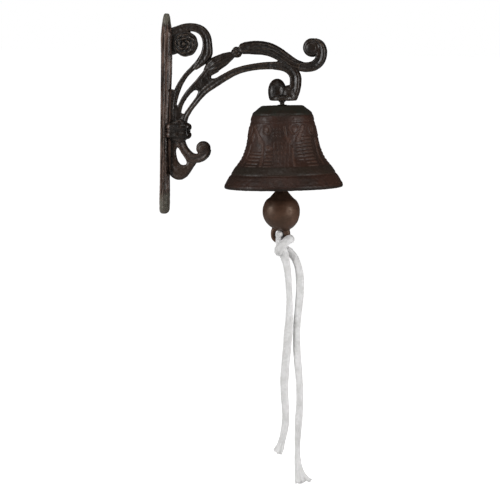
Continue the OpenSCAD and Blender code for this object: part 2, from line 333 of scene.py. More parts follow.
def braid(name, route, diameter, start=1.0, end=1.0, bulges=(), gap=0.4):
    """A soft braided cord along a route. start and end are how much wider its ends are, and
    bulges are places, [mm from its start, mm along, amount], where it is fuller or thinner."""
    q = even_line(route, gap)
    across, other = frames_along(q)
    far = np.arange(len(q)) * gap
    s, a = np.meshgrid(far, angles(64), indexing="ij")
    half = PLAITS / 2
    one = np.cos(half * (a + TAU * s / PLAIT_PITCH))
    two = np.cos(half * (a - TAU * s / PLAIT_PITCH))
    plait = np.maximum(0.85 * one + 0.15 * two, 0.85 * two - 0.15 * one)
    slack = 0.03 * np.sin(s / 9 + 1.3) + 0.018 * np.sin(s / 3.7 + 2 * a)
    radius = diameter / 2 * (0.955 + 0.045 * plait + slack)
    along = s / far[-1]
    radius *= 1 + (start - 1) * (1 - smoothstep(0, 0.05, along))
    radius *= 1 + (end - 1) * smoothstep(0.93, 1, along)
    for at, size, amount in bulges:
        radius *= 1 + amount * hump(s - at, size)
    return solid(name, rings_about(q, across, other, radius[..., None], 64)), q


def tuft(name, line, width, count, seed):
    """Loosened yarn at a cut end: a soft core along a line [x, y, z], width mm across where it
    starts and at its end, covered with thin threads that run on a little past it."""
    rng = np.random.default_rng(seed)
    q = even_line(line, 0.4)
    across, other = frames_along(q)
    along = np.linspace(0, 1, len(q))[:, None]
    wide = width[0] + (width[1] - width[0]) * smoothstep(0, 1, along)
    columns, sides, rings = 40, 5, 10
    a = angles(columns)
    ripple = 1 + 0.07 * np.cos(9 * a + 2 * along) + 0.05 * np.cos(5 * a - 3 * along)
    ripple = ripple * (1 - 0.55 * smoothstep(0.9, 1, along))
    core = rings_about(q, across, other, (ripple * wide / 2)[..., None], columns)
    points, faces = core.reshape(-1, 3).tolist(), capped(len(q), columns)
    for i in range(count):
        angle, reach = TAU * rng.random(), 0.35 + 0.65 * rng.random() ** 0.4
        begin, size = 0.45 * rng.random(), 0.55 + 0.2 * rng.random()
        thick, base = 0.34 + 0.2 * rng.random(), len(points)
        for r in range(rings):
            t = begin + size * r / (rings - 1)
            n = int(round(min(t, 1) * (len(q) - 1)))
            out = across[n] * math.cos(angle + 0.8 * t) + other[n] * math.sin(angle + 0.8 * t)
            centre = q[n] + out * reach * wide[n] / 2 * (1 + 0.25 * max(0, t - 0.8))
            centre = centre + (q[-1] - q[-4]) * max(0, t - 1) * 4
            for w in angles(sides):
                section = across[n] * math.cos(w) + other[n] * math.sin(w)
                points.append((centre + section * thick * (1 - 0.4 * r / rings)).tolist())
        faces += [[base + f for f in face] for face in capped(rings, sides)]
    return mesh_object(name, points, faces)


left_cord, left_path = braid("cord_left_tail", LEFT_ROUTE, CORD_D, start=1.22, end=1.1,
                             bulges=[(44, 20, -0.12), (84, 20, 0.22), (128, 26, 0.14)])
right_cord, right_path = braid("cord_right_tail", RIGHT_ROUTE, CORD_D, end=1.1,
                               bulges=[(36, 15, 0.13), (202, 14, -0.2)])
knot, _ = braid("cord_knot_wraps", KNOT_ROUTE, KNOT_D, bulges=[(24, 5, -0.46)], gap=0.3)
left_tuft = tuft("cord_left_fray", [(129.2, -3, -323), (127.6, -3, -328), (125, -3, -333.6)],
                 (7, 10), 90, 3)
right_tuft = joined("cord_right_fray", [
    tuft("main", [(145.2, 1, -342), (146.2, 1, -351), (147.6, 1, -364)], (6.6, 9), 110, 5),
    tuft("middle", [(146.4, 0.5, -343), (148.6, 0.5, -353), (152.4, 0.5, -362)], (5, 6.4), 60, 6),
    tuft("flare", [(146.4, 0, -341), (149.6, 0, -350.5), (154.4, 0, -357), (159, 0, -360.4)],
         (4, 4.4), 50, 8),
])
for piece in (left_cord, right_cord, knot, left_tuft, right_tuft):
    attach(piece, "cord")
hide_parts("cord_left")
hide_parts("cord_right")
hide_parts("cord_knot", "cord_loop")

# ---- bracket casting
# Lines of the casting's members, [x, z, width], seen from the side
VOLUTE = [
    (3, 80, 8), (13, 83.3, 7.5), (22, 86, 7.5), (31, 86.3, 7.5), (38.8, 83.5, 7.8),
    (43.6, 77.5, 8), (45.2, 69, 8.4), (44.4, 60.5, 10.4), (40.4, 54, 8), (36.4, 49.4, 5),
    (32.4, 45.6, 2.4),
]
UPPER_STEM = [
    (43, 59, 9), (40, 55.5, 8), (35.3, 51, 5.4), (28.8, 45, 4.2), (22.7, 38.7, 4),
    (17.8, 31.6, 4.4), (14.1, 24, 5.2), (11.6, 15, 4.6), (10.2, 6, 4.4), (11, -3, 4.4),
    (13, -12, 4.6),
]
STEM = [
    (16.6, -12, 4.5), (15.8, 0, 4), (16.9, 7, 3.8), (19.5, 13.3, 3.8), (23.8, 19.7, 4.2),
    (29, 25.5, 4.8), (35, 31.4, 5.6), (41, 37.5, 6.6), (47, 44.5, 7), (50, 48, 7),
]
# Metal between the members, where they run together
FILLS = [
    [(33.4, 27.6, 5), (39, 29.4, 9), (44, 33.4, 9.6), (47, 37, 6)],
    [(14, -12, 8), (13.6, 0, 7), (13.6, 6, 5.2), (13.9, 9.2, 2.4)],
    [(20, -12, 8), (19.4, -5, 6), (19.4, -1, 3.8), (19.7, 1, 1.6)],
    [(13.5, -22, 9), (14, -30, 6)],
    [(7.4, -48, 7), (7.2, -60.4, 5.6)],
]
# Raised lips round the ends of the slots and round the opening in the tail
LIPS = [
    [(24.6, 21, 4), (27.8, 24.4, 4.4), (31, 26.4, 4.4), (34.8, 26.9, 4.4), (38, 25.2, 4.4),
     (38.6, 21.6, 4.4), (36.7, 18.3, 4)],
    [(56.2, 45.2, 4), (50.5, 42.4, 4.4), (47.4, 40.2, 4.4), (46.6, 37, 4.4), (48.8, 34.2, 4.4),
     (52.4, 34, 4.4), (58, 35.6, 4)],
    [(x, z, 4.2) for x, z in (
        (14.6, -29.8), (19, -33), (21.1, -36.7), (23.9, -40.6), (26.6, -44.6), (27.4, -47.9),
        (25.6, -51.4), (21.2, -52.8), (17.4, -52.1), (14, -49.1), (11.9, -44.9), (10.8, -39.9),
        (10.6, -35.9), (12, -32), (14.6, -29.8),
    )],
]
STRAND = [
    (20.6, -12, 4.8), (22.8, -3, 4.6), (25.2, 1.6, 4.4), (28.7, 6.7, 4.2), (33.2, 12.3, 4.3),
    (38.5, 19, 5), (44.8, 25.3, 6), (52.5, 30.8, 7), (59.5, 35.3, 7), (66, 39, 6.6),
    (73.5, 43, 6.3), (81.5, 45.8, 6.1), (90, 47.8, 6), (99, 49.2, 6.2), (108, 50, 6.6),
    (118, 50.3, 7),
]
CALYX = [(42.5, 43.4, 3), (46.2, 46, 8.6), (51.5, 49.3, 13.6), (57.5, 52.5, 13.4),
         (63.5, 55.8, 11.8), (68.4, 58.5, 8.8), (72, 60.4, 5.8), (74, 61.5, 5.4)]
LEAF = [
    (79.8, 65, 6.4), (81.2, 65.6, 9.6), (83.4, 66.3, 11), (87, 67, 11.8), (94, 67.3, 12.8),
    (103, 67, 12.8), (111, 65.3, 12.4), (119, 61.7, 11.8), (127, 56.9, 11), (134.5, 52.4, 10.2),
    (142, 50, 9),
]
TIP = [
    (134, 52.3, 9), (141, 50.2, 8.8), (147.5, 49.2, 8.8), (155.3, 50.8, 9), (161, 56, 9.2),
    (163, 64, 9), (160.7, 70.8, 8.4), (155, 74, 7),
]
HOOK = [
    (112, 50.2, 6.6), (120, 50, 8), (127, 49, 9), (133, 45.5, 9.6), (136.6, 39.5, 10),
    (136.8, 32.5, 10), (135.8, 26, 9.6), (134, 19.4, 8.6),
]
WEB = [(8, -22, 7.6), (7.8, -8, 7.2), (7.8, 8, 6.6), (8.6, 17, 7), (10, 24.4, 6.4)]
TAIL = [
    (17.4, -20, 7.6), (18.6, -27, 7.2), (21.2, -33.4, 7.2), (24.8, -38.2, 7.6), (29.2, -42.2, 8.6),
    (34.3, -43.3, 8.6), (40, -41.9, 8.4), (44.4, -38.3, 7.8), (46.2, -33.5, 7),
]
TAIL_LEAF = [
    (32.5, -44, 7), (30.2, -47.6, 7.4), (28, -51.2, 7), (24.8, -54.8, 8.8), (21, -57.2, 12.2),
    (16.6, -57.8, 14.6), (12, -54.8, 13.6), (9.4, -46, 9), (8.9, -37, 7.6), (9.2, -23, 8),
]
ROSETTE_AT, ROSETTE_R = (22.2, 70), 12.8
TIP_BALL_AT, TIP_BALL_R = (153.2, 68.3), 9.2
TAIL_BALL_AT, TAIL_BALL_R = (42.2, -33), 7.3
BEAD_AT, BEAD_TILT = (76, 62.6), math.radians(24)
COLLAR_ROLLS = (-20.3, -12.4)
BOSS_Z = 4.7
# What melting the casting together takes off its members
SHRINK = 0.8


def member(line, depth, groove=0.0, boxy=0.6, flutes=None, thin=1.0):
    """A curved member of the casting, depth from side to side. groove is how deep its two faces
    are hollowed along the middle, boxy its section, from 0, square, to 1, round, flutes (count,
    depth, twist) cuts it lengthwise, and thin is how much of its depth it starts with."""
    q = even_line(line, 0.6, 2)
    ahead = unit(np.gradient(q[:, :2], axis=0))
    a, s = np.meshgrid(angles(48), np.linspace(0, 1, len(q)))
    across, deep = power(np.cos(a), boxy), power(np.sin(a), boxy)
    deep = deep * (1 - groove * hump(across, 0.42))
    if flutes:
        count, cut, twist = flutes
        wave = np.abs(np.cos((a + twist * (s - 0.5) * np.sign(np.sin(2 * a))) * count / 2))
        across, deep = (v * (1 - cut * (1 - wave**0.6)) for v in (across, deep))
    half = (q[:, 2][:, None] + SHRINK) / 2
    thick = depth / 2 * np.minimum(1, (half / half.max()) ** 0.35)
    thick = thick * (thin + (1 - thin) * smoothstep(0, 0.4, s))
    x = q[:, :1] - ahead[:, 1:] * across * half
    z = q[:, 1:2] + ahead[:, :1] * across * half
    return solid("member", np.stack([x, deep * thick, z], axis=-1))


def facing_y(points, at):
    """A round shape about Z turned to face +Y and -Y about a place [x, z]."""
    x, z, y = np.moveaxis(points, -1, 0)
    return np.stack([x + at[0], y, z + at[1]], axis=-1)


def rosette():
    """Two rings of petals about a button, on both faces of a disc."""
    steps = np.linspace(0, 1, 54)

    def face(r, a):
        inner = hump(r - 0.4, 0.13) * np.abs(np.cos(2.5 * (a + 2 * r))) ** 0.7
        outer = hump(r - 0.72, 0.12) * np.abs(np.cos(4 * (a + 1.2 * r))) ** 0.7
        button = np.exp(-((r / 0.16) ** 4))
        dish = 3.6 * np.sqrt(np.clip(1 - r**4, 0, 1))
        rim = hump(r - 0.95, 0.05)
        return dish + 3.4 * inner + 2.6 * outer + 3 * button + 1.6 * rim

    a = angles(96)
    r = np.concatenate([steps[1:], steps[1:-1][::-1]])[:, None]
    sign = np.concatenate([np.ones(len(steps) - 1), -np.ones(len(steps) - 2)])[:, None]
    edge = 1 - 0.035 * smoothstep(0.8, 1, r) * (1 - np.abs(np.cos(4 * a + 0.6)))
    points = swept(r * edge * ROSETTE_R, a, sign * face(r, a))
    return solid("rosette", facing_y(points, ROSETTE_AT))


def knob(at, radius, depth):
    """The rolled end of a scroll: a flattened ball with a faint groove."""
    t = np.linspace(0.02, math.pi - 0.02, 60)
    points = turned(np.column_stack([radius * np.sin(t) ** 0.8, depth * np.cos(t)]), 80)
    r = np.hypot(points[..., 0], points[..., 1]) / radius
    points[..., 2] *= 1 - 0.1 * hump(r - 0.62, 0.1)
    return solid("knob", facing_y(points, at))


def bead():
    """A round bead on the arm, with a ring of small pearls about its middle."""

    def pearls(r, a, h):
        return r * (1 - 0.13 * (1 - np.abs(np.cos(4.5 * a))) * np.exp(-(h / 2.6) ** 4))

    t = np.linspace(-1, 1, 48)
    swell = 5.7 * np.sqrt(1 - 0.72 * t**2) - 0.5 * hump(np.abs(t) - 0.6, 0.12)
    p = turned(np.column_stack([swell, t * 4.8]), 72, pearls)
    along = np.array((math.cos(BEAD_TILT), 0, math.sin(BEAD_TILT)))
    rise = np.array((-math.sin(BEAD_TILT), 0, math.cos(BEAD_TILT)))
    place = np.array((BEAD_AT[0], 0, BEAD_AT[1]))
    points = place + p[..., :1] * rise + p[..., 1:2] * SIDEWAYS + p[..., 2:] * along
    return solid("bead", points)


COLLAR_FRONT, COLLAR_OUT, COLLAR_BACK, COLLAR_HALF = 29.2, 9.6, 18.6, 4.6


def collar_roll(z_mid):
    """One of the two rolls that bind the stems, spread towards the plate."""
    t = np.linspace(-math.pi / 2, math.pi / 2, 30)[:, None]
    a = angles(80)
    out = np.cos(a)
    reach = np.where(out > 0, COLLAR_OUT * out, COLLAR_BACK * out)
    x = COLLAR_FRONT - COLLAR_OUT + np.cos(t) ** 0.6 * reach
    wide = np.where(out > 0, np.sin(a), power(np.sin(a), 0.35) * (1 + 0.08 * out**2))
    y = 8 * wide * np.cos(t) ** 0.6
    z = z_mid + COLLAR_HALF * np.where(out > 0, 1, 1 - 0.1 * out**2) * np.sin(t)
    return solid("roll", np.stack([x, y, z], axis=-1))


def lobe(out, side, wide=1.0, petals=0):
    """One swelling of the boss, from [radius, height] down its side. out is how far out it stands
    from the bolt, wide stretches it sideways, and petals is how many shallow ones it has."""

    def pinched(r, a, h):
        return r * (1 - 0.06 * (1 - np.abs(np.cos(petals * a / 2 + 0.9))) ** 1.5)

    points = turned(even_line(side, 0.5, 2), 72, pinched) * (1, wide, 1) + (out, 0, BOSS_Z)
    return solid("lobe", on_bolt(points))


def boss():
    """The flat-footed boss that holds the bolt: a closed bud beside the end of the hook."""
    foot = [(0.5, 0.2), (8, 0.2), (11, 0.2), (12, 0.6), (12.6, 1.6), (12.4, 3), (10.5, 5), (0.5, 6)]
    bud = [(0.4, 0.5), (7, 0.5), (8.5, 3), (9.1, 7), (9.1, 11), (8.2, 15), (6.2, 18.6), (3.4, 20.9),
           (1, 21.7), (0.3, 21.8)]
    root = [(0.4, 0), (6.3, 0), (7.6, 1.4), (8, 5), (7.4, 8), (6, 12), (3.4, 14.6), (0.4, 15.4)]
    return [lobe(1, foot), lobe(-4.6, bud, wide=1.06, petals=3), lobe(7.6, root, wide=1.05)]


PLATE_HALF, PLATE_T, RIB_T, RIB_W = 10.5, 3.5, 1.5, 10
ARCH_Z, ARCH_H = 72, 28  # where the plate's round top starts, and its height
TOE_Z, TOE_H = -92, 8  # and the same for its blunter foot
HOLES_Z = (-89, 89)


def plate_half(z):
    """Half width of the wall plate at a height."""
    pads = hump(z - 76, 14) + hump(z + 84, 13)
    top = np.sqrt(np.clip(1 - (np.clip(z - ARCH_Z, 0, None) / ARCH_H) ** 2, 0, None))
    foot = np.sqrt(np.clip(1 - (np.clip(TOE_Z - z, 0, None) / TOE_H) ** 4, 0, None))
    return (PLATE_HALF + pads) * top * foot


def plate():
    """The wall plate: rounded edges, a fluted rib, and a sunk seat round each hole."""
    z = np.concatenate([
        TOE_Z - TOE_H * np.cos(np.linspace(0, math.pi / 2, 22))[:-1],
        np.arange(TOE_Z, ARCH_Z, 0.7),
        ARCH_Z + ARCH_H * np.sin(np.linspace(0, math.pi / 2, 60)),
    ])
    half = np.maximum(plate_half(z), 0.05)[:, None]
    across = np.sin(np.linspace(-math.pi / 2, math.pi / 2, 61))[None]
    y = half * across
    edge = half - np.abs(y)
    height = np.broadcast_to(z[:, None], y.shape)
    rib = smoothstep(RIB_W / 2 + 0.5, RIB_W / 2 - 0.7, np.abs(y))
    rib = rib * smoothstep(-78, -74, height) * smoothstep(84, 80, height)
    flute = 1.5 * hump(np.abs(y) - 2.6, 0.9) * rib
    rim = 0.5 * hump(edge - 1.4, 0.8) - 0.5 * hump(edge - 3.6, 0.9)
    round_off = 1.5 * (1 - np.sqrt(np.clip(1 - (1 - np.clip(edge / 1.5, 0, 1)) ** 2, 0, 1)))
    proud = RIB_T * rib + 2.2 * smoothstep(-20, 50, height) * smoothstep(0.4, 4.4, edge)
    front = PLATE_T + proud - flute + rim - round_off - 0.25
    for at in HOLES_Z:
        front = front - 0.35 * smoothstep(7.2, 6.2, np.hypot(y, height - at))
    sheet = np.stack([front, y, height], axis=-1)
    ring = np.concatenate([sheet, sheet[:, ::-1] * (0, 1, 1)], axis=1)
    thing = solid("plate", ring)
    for at in HOLES_Z:
        y, z, x = np.moveaxis(turned([(2.5, -3), (2.5, 1.9), (4, 3.4), (4, 9)], 40), -1, 0)
        tool = solid("drill", np.stack([x, y, z + at], axis=-1))
        cut = thing.modifiers.new("hole", "BOOLEAN")
        cut.operation, cut.solver, cut.object = "DIFFERENCE", "EXACT", tool
        apply_modifiers(thing)
        bpy.data.objects.remove(tool)
    return thing


def make_bracket():
    parts = [
        plate(),
        member(WEB, 8.4, groove=0.1),
        member(VOLUTE, 9.2, groove=0.16),
        member([(1.5, 69.6, 20.6), (8, 69.6, 20.6), (15, 70, 17)], 6.5, boxy=0.35),
        *(member(line, 5.8, boxy=0.5) for line in FILLS),
        *(member(line, 5.8, boxy=0.7) for line in LIPS),
        member(UPPER_STEM, 6.6, groove=0.14, boxy=0.75),
        member(STEM, 6.6, groove=0.14, boxy=0.75),
        member(STRAND, 7.6, groove=0.26, boxy=0.65),
        member(CALYX, 12, boxy=0.9, flutes=(8, 0.2, 0.5), thin=0.45),
        member(LEAF, 13.4, boxy=0.85, flutes=(8, 0.2, 0.7)),
        member(TIP, 10.4, groove=0.3),
        member(HOOK, 10.4, groove=0.28),
        member(TAIL, 9.4, groove=0.28),
        member(TAIL_LEAF, 8.6, groove=0.1, boxy=0.75),
        rosette(),
        bead(),
        knob(TIP_BALL_AT, TIP_BALL_R, 6.8),
        knob(TAIL_BALL_AT, TAIL_BALL_R, 6.4),
        *(collar_roll(z) for z in COLLAR_ROLLS),
        member([(12, -25, 15), (14.8, -16.3, 24), (12, -7.6, 15)], 13.4, boxy=0.4),
        *boss(),
    ]
    bracket = fused("bracket_casting", parts, voxel=0.42, softening=5)
    rough_up(bracket, 2.2, 0.16, 3.1)
    mark_wear_and_shade(bracket)
    return bracket


bracket = make_bracket()
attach(bracket, "bracket")
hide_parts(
    "back_plate", "root_web", "rosette", "top_volute", "upper_stem", "middle_stem",
    "lower_strand", "arm_calyx", "arm_bead", "arm_leaf", "tip_curl", "hook", "hook_boss",
    "collar", "tail_scroll", "tail_leaf",
)

# ---- bell
BELL_R, BELL_H, BELL_T = 58.5, 80, 4.5
BELL_SIDE = [  # radius and depth down the wall, as shares of the bell's radius and height
    (0.497, 0.09), (0.524, 0.14), (0.56, 0.26), (0.595, 0.39), (0.632, 0.51),
    (0.7, 0.635), (0.825, 0.76), (0.935, 0.88), (0.98, 0.94), (1, 0.975),
]
FRONT = AZIMUTH - math.pi / 2  # the side that faces the camera
ORNAMENT_TOP, ORNAMENT_FOOT = 17, 58.5


def ridge(x, half, soft):
    """1 within half of 0, falling to 0 over soft beyond it."""
    return smoothstep(half + soft, half, np.abs(x))


# The ornament of half the bell, repeated on the other half: angles in degrees from its front,
# the rest in mm, depths from the crown
LADDERS = [  # angle, depth, half width, half height
    (-46, 51, 8, 6.6), (-21, 51, 3.9, 6.6), (40, 43.8, 6.4, 14), (24.5, 44.2, 3.2, 7),
    (78, 50, 5, 7), (-79, 40, 3.6, 9),
]
MEDALLIONS = [  # angle, depth, half width, half height, height of the middle
    (-28.5, 22.7, 4.6, 5.4, 1.0), (19, 21.8, 5, 5.6, 0.55), (56, 23.2, 4.2, 5, 0.8),
    (-72, 23.5, 4.6, 5.6, 0.6), (88, 25, 3.6, 5, 1.0),
]
STRAPS = [  # angle and depth of both ends, half width
    (-57, 18.5, -34, 36, 1.5), (-34, 36, -30, 57.5, 1.2), (37, 18.5, 22, 34, 1.5),
    (13.5, 40, 13.5, 57.5, 0.9), (64, 31, 60, 57, 1.2), (-62, 36, -64, 57, 1), (2, 19, 5, 32, 0.8),
]
LEAVES = [  # angle, depth, half width, half height, lean
    (25, 31.5, 2.6, 4.4, 0.6), (-22, 40, 4.6, 2.4, 0.35), (-40, 33, 2.8, 5, -0.5),
    (9, 33, 2.4, 4.6, -0.3), (-58, 30, 2.6, 5, 0.2), (68, 36, 3.2, 5, 0.3),
]


def bars(x, pitch, lo, hi):
    """Soft-edged bars one pitch apart, narrower the higher lo and hi are."""
    return smoothstep(lo, hi, np.cos(TAU * x / pitch))


def bell_relief(turn, deep, radius):
    """Height of the ornament, at an angle round the bell and a depth below its crown."""
    height = np.zeros_like(turn)

    def from_place(angle, depth):
        around = (turn - math.radians(angle) + math.pi / 2) % math.pi - math.pi / 2
        return around * radius, deep - depth

    def lay(more):
        return np.maximum(height, more)

    u, v = from_place(-10.5, 25.2)
    squares = bars(u, 2.9, -0.2, 0.7) * bars(v, 3.2, -0.2, 0.7)
    height = lay(0.75 * squares * ridge(u, 4.2, 0.4) * ridge(v, 4.6, 0.4))
    u, v = from_place(-2.5, 45)
    strips = bars(u, 3.5, -0.4, 0.8) * (0.75 + 0.25 * np.cos(TAU * v / 5.6))
    height = lay(0.5 * strips * ridge(u, 8.6, 0.8) * ridge(v, 10, 1.5))
    for angle, depth, wide, high in LADDERS:
        u, v = from_place(angle, depth)
        rungs = bars(v, 3.3, -0.7, 0.6)
        height = lay(0.9 * rungs * ridge(u, wide - 0.5, 0.9) * ridge(v, high, 0.6))
    for angle, depth, wide, high, middle in MEDALLIONS:
        u, v = from_place(angle, depth)
        away = np.hypot(u / wide, v / high)
        height = lay(0.85 * ridge(away - 0.9, 0.05, 0.16))
        height = lay(middle * smoothstep(0.72, 0.3, away))
    for angle, depth, angle_2, depth_2, wide in STRAPS:
        u, v = from_place((angle + angle_2) / 2, (depth + depth_2) / 2)
        run = math.radians(angle_2 - angle) * 35, depth_2 - depth
        size = math.hypot(*run)
        along = (u * run[0] + v * run[1]) / size
        off = (u * run[1] - v * run[0]) / size
        lean = 0.15 * np.cos(TAU * (along + off * 0.6) / 2.6)
        strap = ridge(off, wide - 0.2, 0.8) * ridge(along, size / 2 - 0.4, 1)
        height = lay(strap * (0.75 + lean * (wide > 1)))
    for angle, depth, wide, high, lean in LEAVES:
        u, v = from_place(angle, depth)
        p = u * math.cos(lean) + v * math.sin(lean)
        q = v * math.cos(lean) - u * math.sin(lean)
        inside = smoothstep(1.05, 0.6, np.hypot(p / wide, q / high))
        vein = 0.35 * hump(p, 0.5)
        height = lay(inside * (1 - vein - 0.12 * np.cos(2.2 * (q - np.abs(p)))))
    return height


def bell_mouldings(deep):
    """Height of the rings round the bell at a depth below its crown."""
    h = 0.3 * ridge(deep - 11.6, 1.9, 1) - 0.4 * ridge(deep - 15.2, 0.4, 0.9)
    h = h + 0.2 * ridge(deep - 61.6, 2.6, 1) - 0.6 * ridge(deep - 66.4, 0.3, 1)
    return h + 0.15 * ridge(deep - 69, 0.5, 1) + 0.25 * ridge(deep - 76.6, 0.5, 0.8)


def make_bell():
    wall = smooth_line([(r * BELL_R, -d * BELL_H) for r, d in BELL_SIDE], 16)
    crown = [(2.9, 0.9), (4.4, 0.9), (5.4, 0.1), (7, 0), (20, 0), (20.9, -0.3), (28.3, -6.3),
             (28.9, -6.9)]
    outside = np.vstack([crown, wall[1:]])
    far = lengths_along(outside)
    outside = resampled(outside, far, int(far[-1] / 0.36))
    ahead = unit(np.gradient(outside, axis=0))
    out = np.column_stack([-ahead[:, 1], ahead[:, 0]])
    step = unit(np.gradient(wall, axis=0))
    inward = wall + BELL_T * np.column_stack([step[:, 1], -step[:, 0]])
    inward = inward[inward[:, 1] < -10]
    rim = [(BELL_R, -78.8), (58, -80), (56.6, -80.5), (55.2, -80.2), (54.2, -79.2)]
    roof = [(inward[0][0] - 1.5, -7.2), (inward[0][0] - 5, -5.3), (12, -5), (3, -5)]
    inside = even_line(np.vstack([rim[3:], inward[::-1][2:], roof]), 1.1, 2)
    columns = 640
    a = angles(columns)

    def all_round(line):
        return (np.repeat(values[:, None], columns, axis=1) for values in line.T)

    r, h = all_round(outside)
    deep = -h
    raised = bell_relief(np.broadcast_to(a, r.shape) - FRONT, deep, r)
    raised = raised * smoothstep(ORNAMENT_TOP, ORNAMENT_TOP + 1.5, deep)
    raised = raised * smoothstep(ORNAMENT_FOOT, ORNAMENT_FOOT - 1.5, deep)
    lift = (0.55 * raised + 0.8 * bell_mouldings(deep) - 0.25) * smoothstep(7.2, 9, deep)
    rest = np.vstack([rim[:3], inside])
    rest_r, rest_h = all_round(rest)
    r = np.vstack([r + out[:, :1] * lift, rest_r])
    h = np.vstack([h + out[:, 1:] * lift, rest_h])
    bell = solid("bell", on_bolt(swept(r, a, h)), closed=True)
    # How far the ornament stands out, and where it is darkened: old dark paint on one band, old
    # dark paint with painted shade on the crown
    plain = np.zeros((len(rest), columns))
    paint_and_shade = smoothstep(9.8, 8.4, deep) + 0.6 * ridge(deep - 62, 3.2, 1.4)
    store(bell, "raised", np.vstack([raised, plain]))
    store(bell, "paint_and_shade", np.vstack([paint_and_shade, plain]))
    rough_up(bell, 3, 0.2, 7.7)
    mark_wear_and_shade(bell, 5)
    return bell


bell = make_bell()
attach(bell, "bell")
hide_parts("bell_shell")

# ---- bolt, washer and nuts
BOLT_R, THREAD_PITCH = 2.5, 0.8
EYE_Z, EYE_R, EYE_WIRE = -9.6, 5, 1.5
WASHER_TOP, WASHER_FOOT, NUT_FOOT, LOCK_FOOT = 6.1, 4.6, 0.6, -2.1


def wire_ring(middle, u, v, radius, wire):
    """A ring of round wire about a point, in the plane of u and v."""
    t = angles(120)[:, None]
    u, v, middle = (np.asarray(w, dtype=float) for w in (u, v, middle))
    out = np.cos(t) * u + np.sin(t) * v
    points = rings_about(middle + out * radius, out, np.cross(u, v), wire, 24)
    return solid("ring", points, closed=True)


def thread(h, a):
    """A screw thread's wave, from 0 at a bolt's crest to 1 at its root."""
    return np.abs(((h / THREAD_PITCH - a / TAU) % 1) * 2 - 1)


def threaded(z_lo, z_hi):
    """A threaded rod on the bolt's line, between two heights above the bell's top."""
    h, a = np.linspace(z_lo, z_hi, int((z_hi - z_lo) / 0.16))[:, None], angles(48)
    end = smoothstep(z_lo, z_lo + 0.9, h) * smoothstep(z_hi, z_hi - 0.9, h)
    r = BOLT_R - 0.5 * thread(h, a) * smoothstep(0, 1, end) - 0.5 * (1 - end)
    return solid("rod", on_bolt(swept(r, a, h)))


def on_line(height):
    """Height above the bell's top along the bolt, whose lean is too small to count."""
    return height - BELL_TOP[2]


def make_bolt():
    eye = on_line(EYE_Z)
    rod = threaded(eye + EYE_R - 0.4, BOSS_Z + 6)
    ring = wire_ring(on_bolt([0, 0, eye]), BELL_OUT, BELL_UP, EYE_R, EYE_WIRE)
    neck = turned([(1.5, eye + EYE_R - 0.8), (2.4, eye + EYE_R + 0.9), (2.1, eye + EYE_R + 2)], 32)
    collar = turned([(2.4, 3.2), (3.1, 3.7), (3.6, 4.4), (3.7, 5.2)], 32)
    parts = [rod, ring, solid("neck", on_bolt(neck)), solid("swell", on_bolt(collar))]
    bolt = joined("eye_bolt", parts)
    mark_wear_and_shade(bolt, 1)
    return bolt


def make_nut(name, top, bottom):
    """A hexagon nut with chamfered corners and a threaded hole."""
    a, flat = angles(96), BOLT_R * 1.84 * math.cos(math.pi / 6)
    hexagon = flat / np.cos((a + math.pi / 6) % (math.pi / 3) - math.pi / 6)
    rows = []
    for h, cap in ((bottom, 0.94), (bottom + 0.35, 1.06), (bottom + 0.7, 2),
                   (top - 0.7, 2), (top - 0.35, 1.06), (top, 0.94)):
        rows.append((np.minimum(hexagon, flat * cap), h))
    for h in np.linspace(top, bottom, 30):
        rows.append((2.35 + 0.3 * thread(h, a), h))
    points = np.array([swept(r, a, h) for r, h in rows])
    nut = solid(name, on_bolt(points), closed=True)
    crease = nut.modifiers.new("crease", "EDGE_SPLIT")
    crease.split_angle = math.radians(32)
    return apply_modifiers(nut)


def make_washer():
    top, bottom = on_line(WASHER_TOP), on_line(WASHER_FOOT)
    side = [(2.65, top - 0.2), (2.9, top), (7.2, top), (7.5, top - 0.3), (7.5, bottom + 0.3),
            (7.2, bottom), (2.9, bottom), (2.65, bottom + 0.2)]
    return solid("bearing_washer_plain", on_bolt(turned(side, 72)), closed=True)


bolt = make_bolt()
washer = make_washer()
support_nut = make_nut("support_nut_hex", on_line(WASHER_FOOT), on_line(NUT_FOOT))
lock_nut = make_nut("lock_nut_hex", on_line(NUT_FOOT) - 0.02, on_line(LOCK_FOOT))
for piece, node in (
    (bolt, "hanger_bolt"), (washer, "bearing_washer"),
    (support_nut, "support_nut"), (lock_nut, "lock_nut"),
):
    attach(piece, "bracket")
    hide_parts(node)

# ---- clapper
LINK_WIRE, LINK_R = 1.3, 3.1
LOOP_R, LOOP_WIRE = 4.5, 1.5
BALL_Z, BALL_SKIN, LOW_R = -92.7, 18.5, 16.9
EYELET_Z, EYELET_R, EYELET_WIRE = -115.1, 7, 2.6


def make_link():
    """A long link of bent wire, closed by a small weld on one side."""
    t = angles(160)
    half = (SWING[2] - ROCK[2] - LINK_R) / 2
    middle = (SWING[2] + ROCK[2] + LINK_R) / 2
    y, rise = LINK_R * np.cos(t), np.sin(t)
    z = middle + half * np.sign(rise) * np.minimum(1, np.abs(rise) * 6) + LINK_R * rise
    q = np.stack([np.full_like(y, HANG_X), y, z], axis=-1)
    ahead = unit(np.roll(q, -1, axis=0) - np.roll(q, 1, axis=0))
    out = np.array((1.0, 0, 0))
    wire = LINK_WIRE * (1 + 0.16 * hump(z - middle, 0.9) * (y > 0))
    points = rings_about(q, out, np.cross(ahead, out), wire[:, None, None], 20)
    return solid("clapper_link_wire", points, closed=True)


def plumb(profile, columns, out=0.0, height=0.0):
    """A round shape on the clapper's plumb line, or a little out from it, about a height."""
    return solid("round", turned(profile, columns) + (HANG_X + out, 0, height))


